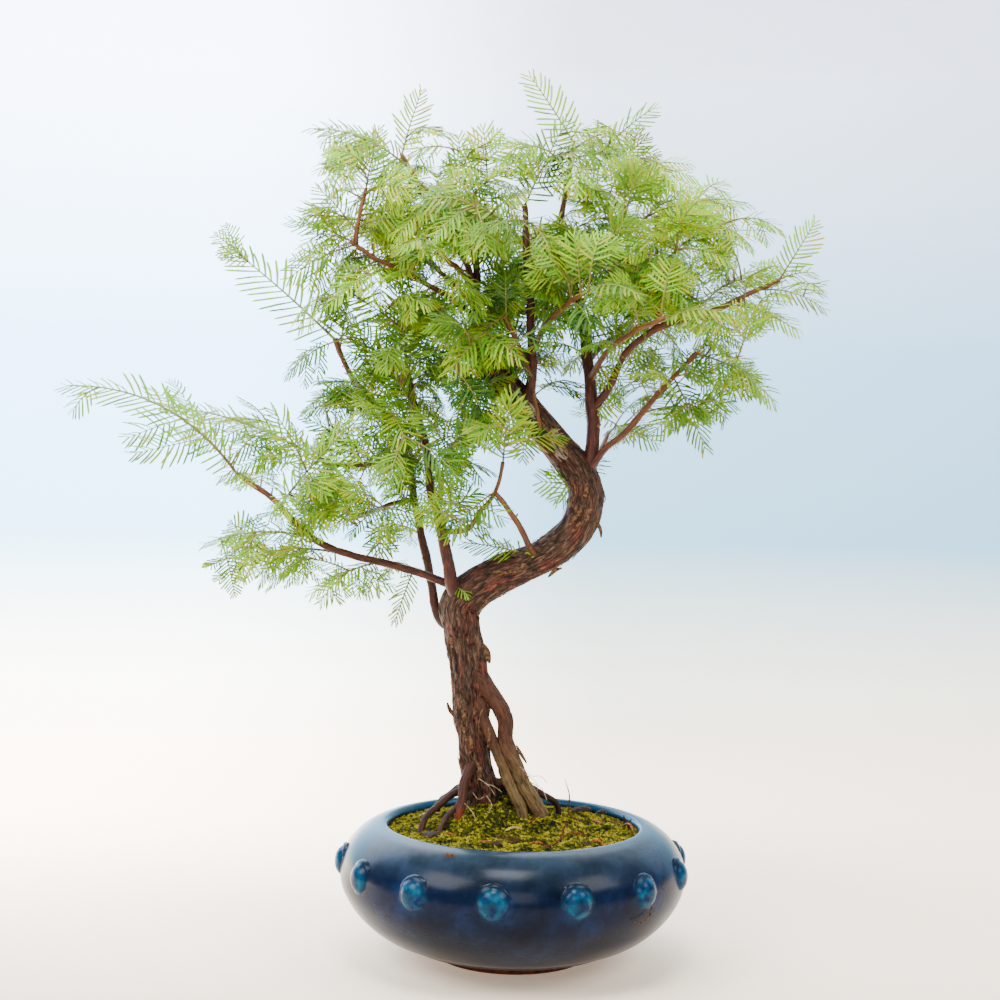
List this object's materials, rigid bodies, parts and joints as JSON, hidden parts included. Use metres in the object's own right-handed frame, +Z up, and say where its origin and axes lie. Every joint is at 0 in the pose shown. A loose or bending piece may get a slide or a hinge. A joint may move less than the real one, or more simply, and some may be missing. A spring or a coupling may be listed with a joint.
{
  "type": "dawn redwood bonsai",
  "caption": "Informal upright dawn redwood bonsai with feathery needle sprays, planted in mossed soil in a round blue-glazed drum pot.",
  "frame": {"origin": "centre of the pot's foot, on the surface that it stands on", "axes": "+Z up, -Y towards the front of the tree, +X to the right seen from the front"},
  "size_m": [0.542, 0.2838, 0.6581],
  "materials": {
    "blue_glazed_stoneware": "glossy dark blue glaze with lighter studs and rim; bare clay foot",
    "drain_plastic": "moulded mesh",
    "potting_soil": "loose dark soil",
    "moss": "short living moss with bark and needle litter",
    "bark": "fibrous red-brown bark",
    "young_needles": "soft flat yellow-green needles",
    "green_needles": "soft flat mid-green needles"
  },
  "bodies": {
    "root": {"pot": "blue_glazed_stoneware", "drain_mesh_left": "drain_plastic", "drain_mesh_right": "drain_plastic", "soil": "potting_soil", "moss": "moss", "tree": "bark", "leafy_stem_01": "young_needles", "leafy_stem_02": "green_needles", "leafy_stem_03": "young_needles", "leafy_stem_04": "green_needles", "leafy_stem_05": "young_needles", "leafy_stem_06": "green_needles", "leafy_stem_07": "young_needles", "leafy_stem_08": "green_needles", "leafy_stem_09": "young_needles", "leafy_stem_10": "green_needles", "leafy_stem_11": "young_needles", "leafy_stem_12": "green_needles", "leafy_stem_13": "young_needles", "leafy_stem_14": "green_needles", "leafy_stem_15": "young_needles", "leafy_stem_16": "green_needles", "leafy_stem_17": "young_needles", "leafy_stem_18": "green_needles", "leafy_stem_19": "young_needles", "leafy_stem_20": "green_needles", "leafy_stem_21": "young_needles", "leafy_stem_22": "green_needles", "leafy_stem_23": "young_needles", "leafy_stem_24": "green_needles", "leafy_stem_25": "young_needles", "leafy_stem_26": "green_needles", "leafy_stem_27": "young_needles", "leafy_stem_28": "green_needles", "leafy_stem_29": "young_needles", "leafy_stem_30": "green_needles", "leafy_stem_31": "young_needles", "leafy_stem_32": "green_needles", "leafy_stem_33": "young_needles", "leafy_stem_34": "green_needles", "leafy_stem_35": "young_needles", "leafy_stem_36": "green_needles", "leafy_stem_37": "young_needles", "leafy_stem_38": "green_needles", "leafy_stem_39": "young_needles", "leafy_stem_40": "green_needles", "leafy_stem_41": "young_needles", "leafy_stem_42": "green_needles", "leafy_stem_43": "young_needles", "leafy_stem_44": "green_needles", "leafy_stem_45": "young_needles", "leafy_stem_46": "green_needles", "leafy_stem_47": "young_needles", "leafy_stem_48": "green_needles", "leafy_stem_49": "young_needles", "leafy_stem_50": "green_needles", "leafy_stem_51": "young_needles", "leafy_stem_52": "green_needles", "leafy_stem_53": "young_needles", "leafy_stem_54": "green_needles"}
  },
  "joints": []
}
